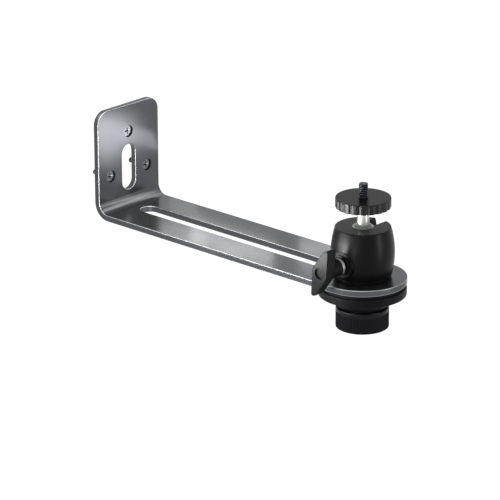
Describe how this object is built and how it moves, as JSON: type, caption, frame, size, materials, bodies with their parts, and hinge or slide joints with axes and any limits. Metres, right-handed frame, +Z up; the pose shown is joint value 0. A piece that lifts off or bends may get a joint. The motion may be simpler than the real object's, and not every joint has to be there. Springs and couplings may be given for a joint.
{
  "type": "projector wall mount",
  "caption": "Slotted L-shaped wall bracket that carries a projector on a lockable ball head, which slides and turns on the arm and is clamped from below by a knob.",
  "frame": {"origin": "where the axis of the top wall screw meets the wall, on the wall plate's back face", "axes": "+X to the right across the bracket as seen from the room, +Y into the wall along the screws, +Z up along the stud"},
  "size_m": [0.0737, 0.2657, 0.1088],
  "materials": {
    "bracket_metal": "satin space-grey anodised or lacquered metal",
    "housing_metal": "satin black",
    "polished_steel": "polished",
    "blued_steel": "blue-black",
    "fitting_steel": "plain zinc plated",
    "screw_steel": "dark plated",
    "brass": "machined",
    "moulded_plastic": "matte black",
    "seat_nylon": "natural nylon",
    "pad_rubber": "matte black"
  },
  "bodies": {
    "bracket": {"bracket": "bracket_metal", "wall_screw_top": "screw_steel", "wall_screw_left": "screw_steel", "wall_screw_right": "screw_steel"},
    "carriage": {"guide_bush": "moulded_plastic"},
    "head": {"housing": "housing_metal", "base_pad": "pad_rubber", "base_insert": "fitting_steel"},
    "clamp_plate": {"flange_pad": "pad_rubber", "clamp_flange": "moulded_plastic", "thrust_washer": "fitting_steel"},
    "knob": {"clamp_knob": "moulded_plastic", "clamp_bolt": "fitting_steel"},
    "ball_cup": {"ball_seat": "seat_nylon"},
    "ball": {"ball_stem": "polished_steel"},
    "stud": {"thread_stud": "blued_steel"},
    "disc_ring": {"disc_washer": "fitting_steel"},
    "disc": {"knurled_disc": "moulded_plastic", "disc_insert": "brass"},
    "lock_plug": {"pressure_plug": "brass"},
    "lever": {"wing_lever": "moulded_plastic", "lock_screw": "fitting_steel", "lever_collar": "fitting_steel"}
  },
  "joints": [
    {"name": "head_slide", "type": "slide", "parent": "bracket", "child": "carriage", "axis": [0, 1, 0], "range_m": [0, 0.19]},
    {"name": "head_swivel", "type": "hinge", "parent": "carriage", "child": "head", "pos_m": [0, -0.223, -0.0535], "axis": [0, 0, 1], "range_deg": [-15, 195]},
    {"name": "knob_turn", "type": "hinge", "parent": "clamp_plate", "child": "knob", "pos_m": [0, -0.223, -0.0748], "axis": [0, 0, -1], "range_deg": [0, 1080]},
    {"name": "flange_drop", "type": "slide", "parent": "carriage", "child": "clamp_plate", "axis": [0, 0, -1], "range_m": [0, 0.00381]},
    {"name": "ball_turn", "type": "hinge", "parent": "head", "child": "ball_cup", "pos_m": [0, -0.223, -0.0273], "axis": [0, 0, 1], "range_deg": [-180, 0]},
    {"name": "ball_tilt", "type": "hinge", "parent": "ball_cup", "child": "ball", "pos_m": [0, -0.223, -0.0273], "axis": [0, 1, 0], "range_deg": [-18, 90]},
    {"name": "ball_spin", "type": "hinge", "parent": "ball", "child": "stud", "pos_m": [0, -0.223, -0.0273], "axis": [0, 0, 1], "continuous": true},
    {"name": "disc_turn", "type": "hinge", "parent": "stud", "child": "disc_ring", "pos_m": [0, -0.223, -0.0048], "axis": [0, 0, 1], "range_deg": [0, 840]},
    {"name": "disc_lift", "type": "slide", "parent": "disc_ring", "child": "disc", "axis": [0, 0, 1], "range_m": [0, 0.00296]},
    {"name": "lever_turn", "type": "hinge", "parent": "lock_plug", "child": "lever", "pos_m": [-0.0132, -0.223, -0.0405], "axis": [-1, 0, 0], "range_deg": [0, 540]},
    {"name": "plug_travel", "type": "slide", "parent": "head", "child": "lock_plug", "axis": [-1, 0, 0], "range_m": [0, 0.0015]}
  ],
  "couplings": [
    {"joint": "knob_turn", "follows": "flange_drop", "rad_per_m": 4947.4},
    {"joint": "disc_turn", "follows": "disc_lift", "rad_per_m": 4947.4},
    {"joint": "lever_turn", "follows": "plug_travel", "rad_per_m": 6283.2}
  ]
}
